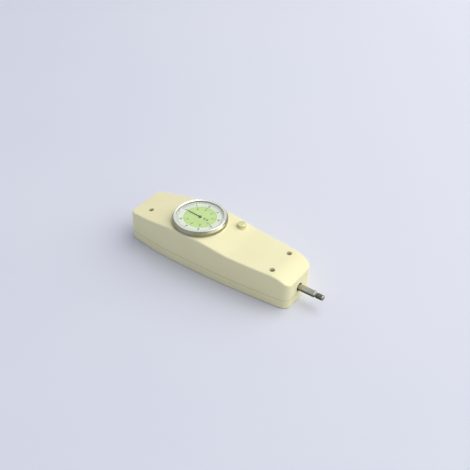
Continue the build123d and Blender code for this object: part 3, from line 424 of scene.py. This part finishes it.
# The third colour is painted shade for the lower half, the fourth a painted highlight for the turned edges.
thread_steel = shaft_metal(
    "thread_steel", srgb(122, 126, 106), srgb(78, 84, 66), srgb(46, 50, 42), srgb(176, 178, 160), 0.32,
    (2500.0, 400.0, 400.0),
)
zinc_plate = metal("zinc_plate", srgb(196, 193, 178), srgb(160, 156, 140), 0.3, (800.0, 2500.0, 2500.0))
spring_steel = metal("spring_steel", srgb(150, 150, 152), srgb(110, 110, 114), 0.35)
brushed_steel = metal("brushed_steel", srgb(190, 190, 190), srgb(165, 165, 166), 0.32)
satin_nickel = metal("satin_nickel", srgb(214, 212, 168), srgb(198, 195, 152), 0.4, (900.0, 900.0, 900.0))
cast_aluminium = metal("cast_aluminium", srgb(196, 196, 194), srgb(170, 170, 168), 0.5, (900.0, 900.0, 900.0))
brass = metal("brass", srgb(206, 176, 104), srgb(182, 148, 80), 0.28, (300.0, 3000.0, 3000.0))
bush_black = moulding("bush_black", srgb(38, 38, 37), srgb(26, 26, 26), 0.5)
rubber_black = moulding("rubber_black", srgb(34, 34, 34), srgb(24, 24, 24), 0.7)
pointer_black = moulding("pointer_black", srgb(40, 46, 34), srgb(28, 32, 24), 0.45, 0.000004)
spacer_white = moulding("spacer_white", srgb(222, 224, 218), srgb(208, 210, 204), 0.45)
ink_black = moulding("ink_black", srgb(44, 46, 42), srgb(30, 32, 30), 0.55, 0.000002)
dial_paint = dial_print(
    "dial_paint", srgb(240, 242, 230), srgb(232, 235, 222), srgb(205, 231, 150), srgb(197, 223, 142)
)
crystal_clear = glass("crystal_clear", (0.97, 0.99, 0.98, 1.0), 0.03)

finish_of_slot = {
    "cream_paint": cream_enamel,
    "zinc_screw": zinc_plate,
    "brass": brass,
    "black_bush": bush_black,
    "cast_aluminium": cast_aluminium,
    "spring_steel": spring_steel,
    "ground_steel": ground_steel,
    "brushed_steel": brushed_steel,
    "satin_nickel": satin_nickel,
    "dark_metal": pointer_black,
    "chrome": chrome_plate,
    "black_rubber": rubber_black,
    "clear_crystal": crystal_clear,
    "white_plastic": spacer_white,
    "dial_print": dial_paint,
    "cream_plastic": button_ivory,
}


def set_finish(obj, material):
    if obj.material_slots:
        for slot in obj.material_slots:
            slot.material = material
    else:
        obj.data.materials.append(material)


for subpart in frame["record"]["subparts"]:
    set_finish(frame["nodes"][subpart["node"]], finish_of_slot[subpart["material_slot"]])


# ---------------------------------------------------------------- new pieces
def finish_piece(mesh_maker, name, body, material):
    """Puts a bmesh in the scene as a smooth piece."""
    mesh = bpy.data.meshes.new(name)
    mesh_maker.to_mesh(mesh)
    mesh_maker.free()
    return adopt(mesh, name, body, material)


def adopt(mesh, name, body, material):
    """A piece made of the mesh, in its finish; it rides on the body, if there is one."""
    for polygon in mesh.polygons:
        polygon.use_smooth = True
    mesh.set_sharp_from_angle(angle=math.radians(35))
    piece = bpy.data.objects.new(name, mesh)
    bpy.context.collection.objects.link(piece)
    piece.data.materials.append(material)
    if body:
        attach(piece, body)
    return piece


def turned(profile, axis, centre, steps):
    """A bmesh spun from a profile of (along, out) points about an axis through centre."""
    work = bmesh.new()
    side = Z_AXIS if axis.x else X_AXIS
    corners = [work.verts.new(centre + axis * along + side * out) for along, out in profile]
    edges = [work.edges.new(pair) for pair in zip(corners, corners[1:])]
    bmesh.ops.spin(
        work, geom=corners + edges, cent=centre, axis=axis, angle=2 * math.pi, steps=steps, use_merge=True
    )
    bmesh.ops.remove_doubles(work, verts=work.verts, dist=1e-7)
    bmesh.ops.recalc_face_normals(work, faces=work.faces)
    return work


def make_spindle():
    """The ground shaft, down to its stepped end, with a rolled thread on the end."""
    tip = rod_high.x
    thread_end = tip - tip_chamfer
    thread_start = tip - thread_length
    core = thread_radius - thread_depth
    outline = [
        (rod_low.x, 0.0),
        (rod_low.x, tail_radius),
        (flange_front, tail_radius),
        (flange_front, spindle_radius),
        (thread_start - relief_length - shoulder_chamfer, spindle_radius),
        (thread_start - relief_length, spindle_radius - shoulder_chamfer),
        (thread_start - relief_length, relief_radius),
        (thread_start, relief_radius),
        (thread_start, core),
        (thread_end, core),
        (thread_end, thread_radius - 0.1 * MM),
        (tip, thread_radius - tip_chamfer),
        (tip, 0.0),
    ]
    centre = Vector((0, 0, spindle_z))
    work = turned(outline, X_AXIS, centre, 64)
    shaft = finish_piece(work, "spindle_shaft", "spindle", shaft_steel)
    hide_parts("spindle_rod")

    work = bmesh.new()
    turns = int((thread_end - thread_start) / thread_pitch)
    ridge = (
        (0.0, core - 0.05 * MM), (0.12, core), (0.42, thread_radius), (0.58, thread_radius), (0.88, core)
    )
    points = [
        Vector((thread_start + (turn + share) * thread_pitch, 0, spindle_z + out))
        for turn in range(turns)
        for share, out in ridge
    ]
    corners = [work.verts.new(point) for point in points]
    edges = [work.edges.new(pair) for pair in zip(corners, corners[1:])]
    steps = 40
    bmesh.ops.spin(
        work,
        geom=corners + edges,
        cent=centre,
        axis=X_AXIS,
        angle=2 * math.pi,
        steps=steps,
        dvec=X_AXIS * thread_pitch / steps,
    )
    bmesh.ops.remove_doubles(work, verts=work.verts, dist=1e-6)
    bmesh.ops.recalc_face_normals(work, faces=work.faces)
    finish_piece(work, "spindle_thread", "spindle", thread_steel)


def make_spring(node, axis, coil, high_end_fixed):
    """A wound spring between the housing and a moving body, built at one fixed length.

    high_end_fixed says which of its ends stands on the housing; it is not used.
    """
    coil_radius, wire_radius, turns = coil
    low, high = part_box(node)
    centre = (low + high) / 2
    length = (high - low).dot(axis)
    first = centre - axis * (length / 2 - wire_radius)
    side = X_AXIS if axis.z else Z_AXIS
    work = bmesh.new()
    place = Matrix.Translation(first + side * coil_radius) @ Matrix.Rotation(math.radians(90), 4, "X")
    bmesh.ops.create_circle(work, cap_ends=False, segments=10, radius=wire_radius, matrix=place)
    steps = turns * 32
    bmesh.ops.spin(
        work,
        geom=work.verts[:] + work.edges[:],
        cent=first,
        axis=axis,
        angle=2 * math.pi * turns,
        steps=steps,
        dvec=axis * (length - 2 * wire_radius) / steps,
    )
    bmesh.ops.holes_fill(work, edges=[edge for edge in work.edges if edge.is_boundary], sides=0)
    bmesh.ops.recalc_face_normals(work, faces=work.faces)
    spring = finish_piece(work, node + "_coil", None, spring_steel)
    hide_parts(node)
    ends = [centre - axis * length / 2, centre + axis * length / 2]
    if high_end_fixed:
        ends.reverse()
    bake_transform(spring)


def tapered_bar(work, start, end, start_half, end_half):
    """A bar of the pointer from start to end radius, with sloping flanks and its own width at each end."""
    made = bmesh.ops.create_cube(work, size=1.0)["verts"]
    for vertex in made:
        half = start_half if vertex.co.x < 0 else end_half
        vertex.co.y = math.copysign(half if vertex.co.z < 0 else half * 0.55, vertex.co.y)
    turn = Matrix.Translation((dial_x, 0, 0)) @ Matrix.Rotation(zero_angle, 4, "Z")
    middle = Matrix.Translation(((start + end) / 2, 0, (pointer_low.z + pointer_high.z) / 2))
    place = turn @ middle @ Matrix.Diagonal((end - start, 1, pointer_high.z - pointer_low.z, 1))
    bmesh.ops.transform(work, matrix=place, verts=made)


def make_pointer():
    """A slim blade and a short tail on a collar round the hub's neck."""
    collar = [
        (pointer_low.z, pointer_bore),
        (pointer_low.z, pointer_collar),
        (pointer_high.z - pointer_round, pointer_collar),
        (pointer_high.z, pointer_collar - pointer_round),
        (pointer_high.z, pointer_bore),
        (pointer_low.z, pointer_bore),
    ]
    work = turned(collar, Z_AXIS, Vector((dial_x, 0, 0)), 48)
    tapered_bar(work, pointer_collar - 0.15 * MM, pointer_reach, 0.6 * MM, 0.26 * MM)
    tapered_bar(work, -pointer_tail, -pointer_collar + 0.15 * MM, 0.5 * MM, 0.6 * MM)
    blade = finish_piece(work, "pointer_blade", "pointer_set", pointer_black)
    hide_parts("pointer")


def make_tick(work, angle, inner, outer, width):
    """One printed line of the scale, from inner to outer radius."""
    size = Vector((outer - inner, width, print_height))
    middle = Vector(((outer + inner) / 2, 0, dial_top + print_height / 2))
    turn = Matrix.Translation((dial_x, 0, 0)) @ Matrix.Rotation(angle, 4, "Z")
    place = turn @ Matrix.Translation(middle) @ Matrix.Diagonal((*size, 1))
    bmesh.ops.create_cube(work, size=1.0, matrix=place)


def scale_angle(value):
    """The direction of a value on the scale, which runs clockwise from its zero."""
    return zero_angle - scale_sweep * value / scale_top


def make_scales():
    """The outer scale in newtons and the inner one in kilograms of force."""
    work = bmesh.new()
    for step in range(scale_top * 2):
        length, width = (1.4, 0.2) if step % 2 else (2.0, 0.24)
        if step % 10 == 0:
            length, width = 2.6, 0.36
        outer = dial_edge_radius - newton_margin
        make_tick(work, scale_angle(step / 2), outer - length * MM, outer, width * MM)
    finish_piece(work, "newton_scale", "bezel", ink_black)
    work = bmesh.new()
    for mark in range(scale_top + 1):
        long_one = mark % 5 == 0
        inner = green_radius - (2.6 if long_one else 1.6) * MM
        outer = green_radius - kilogram_margin
        angle = scale_angle(mark * newtons_per_mark)
        make_tick(work, angle, inner, outer, (0.3 if long_one else 0.16) * MM)
    finish_piece(work, "kilogram_scale", "bezel", ink_black)


def text_mesh(words, size, place):
    """Flat lettering as a mesh, moved to its place."""
    curve = bpy.data.curves.new("lettering", "FONT")
    curve.body = words
    curve.size = size
    curve.align_x = "CENTER"
    curve.align_y = "CENTER"
    curve.extrude = print_height / 2
    curve.offset = size * 0.03
    curve.resolution_u = 3
    holder = bpy.data.objects.new("lettering", curve)
    bpy.context.collection.objects.link(holder)
    bpy.context.view_layer.update()
    mesh = bpy.data.meshes.new_from_object(holder.evaluated_get(bpy.context.evaluated_depsgraph_get()))
    bpy.data.objects.remove(holder)
    mesh.transform(place)
    return mesh


def make_numerals():
    """The figures of both scales, upright to a reader with the spindle pointing down."""
    work = bmesh.new()
    lift = dial_top + print_height / 2
    facing = Matrix.Rotation(math.radians(-90), 4, "Z")
    labels = []
    for value in range(0, scale_top, 5):
        labels.append((str(value), 2.7 * MM, scale_angle(value), dial_edge_radius - 5.2 * MM))
    for mark in range(0, scale_top, 5):
        words = str(mark / 10) if mark else "0"
        labels.append((words, 2.0 * MM, scale_angle(mark * newtons_per_mark), green_radius - 4.6 * MM))
    for words, size, angle, radius in labels:
        spot = Vector((dial_x + radius * math.cos(angle), radius * math.sin(angle), lift))
        mesh = text_mesh(words, size, Matrix.Translation(spot) @ facing)
        work.from_mesh(mesh)
    for words, size, along in (("N", 3.4 * MM, 5.6 * MM), ("kgf", 2.6 * MM, 9.4 * MM)):
        mesh = text_mesh(words, size, Matrix.Translation((dial_x + along, 0, lift)) @ facing)
        work.from_mesh(mesh)
    bmesh.ops.remove_doubles(work, verts=work.verts, dist=1e-7)
    finish_piece(work, "scale_figures", "bezel", ink_black)


make_spindle()
make_spring("rear_spring", X_AXIS, load_coil, False)
make_spring("front_spring", X_AXIS, load_coil, True)
make_spring("button_spring", Z_AXIS, button_coil, False)
make_pointer()
make_scales()
make_numerals()


# ---------------------------------------------------------------- floor, light and camera
def make_floor():
    """A plain pale floor, a hair below the back."""
    work = bmesh.new()
    drop = Matrix.Translation((0, 0, -0.2 * MM))
    bmesh.ops.create_grid(work, x_segments=1, y_segments=1, size=6.0, matrix=drop)
    mesh = bpy.data.meshes.new("floor")
    work.to_mesh(mesh)
    work.free()
    floor = bpy.data.objects.new("floor", mesh)
    bpy.context.collection.objects.link(floor)
    material, tree, shader = new_material("floor_paper")
    skin = place_group(tree, paint_skin, Cloud_Scale=3.0, Peel_Scale=300.0)
    colour = blend_colours(
        tree, spread(tree, skin.outputs["Cloud"], 0.0, 1.0), srgb(226, 228, 234), srgb(223, 225, 232)
    )
    tree.links.new(colour, shader.inputs["Base Color"])
    shader.inputs["Roughness"].default_value = 0.8
    shader.inputs["Specular IOR Level"].default_value = 0.2
    mesh.materials.append(material)


def make_world():
    """A soft sky that lights the gauge, and a paler one for the camera and for reflections."""
    world = bpy.data.worlds.new("studio")
    world.use_nodes = True
    bpy.context.scene.world = world
    tree = world.node_tree
    background = tree.nodes["Background"]
    path = tree.nodes.new("ShaderNodeLightPath")
    seen = math_node(tree, "MAXIMUM", path.outputs["Is Camera Ray"], path.outputs["Is Transmission Ray"])
    seen = math_node(tree, "MAXIMUM", seen, path.outputs["Is Glossy Ray"])
    colour = blend_colours(tree, seen, (0.305, 0.325, 0.42, 1.0), (0.84, 0.86, 0.88, 1.0))
    tree.links.new(colour, background.inputs["Color"])
    background.inputs["Strength"].default_value = 1.0


def make_lamp(name, place, aim, size, power, colour):
    data = bpy.data.lights.new(name, "AREA")
    data.shape = "RECTANGLE"
    data.size, data.size_y = size
    data.energy = power
    data.color = colour
    lamp = bpy.data.objects.new(name, data)
    lamp.location = place
    lamp.rotation_euler = (Vector(aim) - Vector(place)).to_track_quat("-Z", "Y").to_euler()
    bpy.context.collection.objects.link(lamp)
    return lamp


def make_camera():
    """The view from the front right, above the spindle's end, in the fitted place and tilt."""
    place = Vector((0.3740, -0.5287, 0.5636))
    heading = Vector((-0.5701, 0.8216, 0.0)).normalized()
    pitch = math.radians(38.911)
    roll = math.radians(1.130)
    right = Vector((heading.y, -heading.x, 0.0))
    forward = heading * math.cos(pitch) - Z_AXIS * math.sin(pitch)
    up = right.cross(forward)
    tilted_right = right * math.cos(roll) + up * math.sin(roll)
    tilted_up = up * math.cos(roll) - right * math.sin(roll)
    data = bpy.data.cameras.new("camera")
    data.lens = 61.75
    data.sensor_width = 36.0
    camera = bpy.data.objects.new("camera", data)
    bpy.context.collection.objects.link(camera)
    turn = Matrix((tilted_right, tilted_up, -forward)).transposed()
    camera.matrix_world = Matrix.Translation(place) @ turn.to_4x4()
    bpy.context.scene.camera = camera


make_floor()
make_world()
make_lamp("key_lamp", (1.1, 1.3, 2.2), (0, 0, 0), (3.6, 3.6), 84.0, (1.0, 0.98, 0.93))
make_lamp("end_lamp", (2.4, -0.5, 0.9), (0.1, 0, 0.02), (1.2, 1.2), 3.5, (1.0, 0.99, 0.96))
make_lamp("rim_lamp", (2.2, 2.0, 0.7), (0, 0, 0.03), (1.8, 1.0), 8.0, (1.0, 0.99, 0.96))
card = make_lamp("reflection_card", (1.9, 0.35, 0.42), (0, 0, 0.03), (2.2, 0.5), 9.0, (1.0, 1.0, 0.98))
card.visible_diffuse = False
make_lamp("fill_lamp", (-1.4, -1.8, 1.8), (0, 0, 0), (1.8, 1.8), 3.2, (0.92, 0.94, 1.0))
make_camera()
bpy.context.scene.view_settings.view_transform = "Standard"
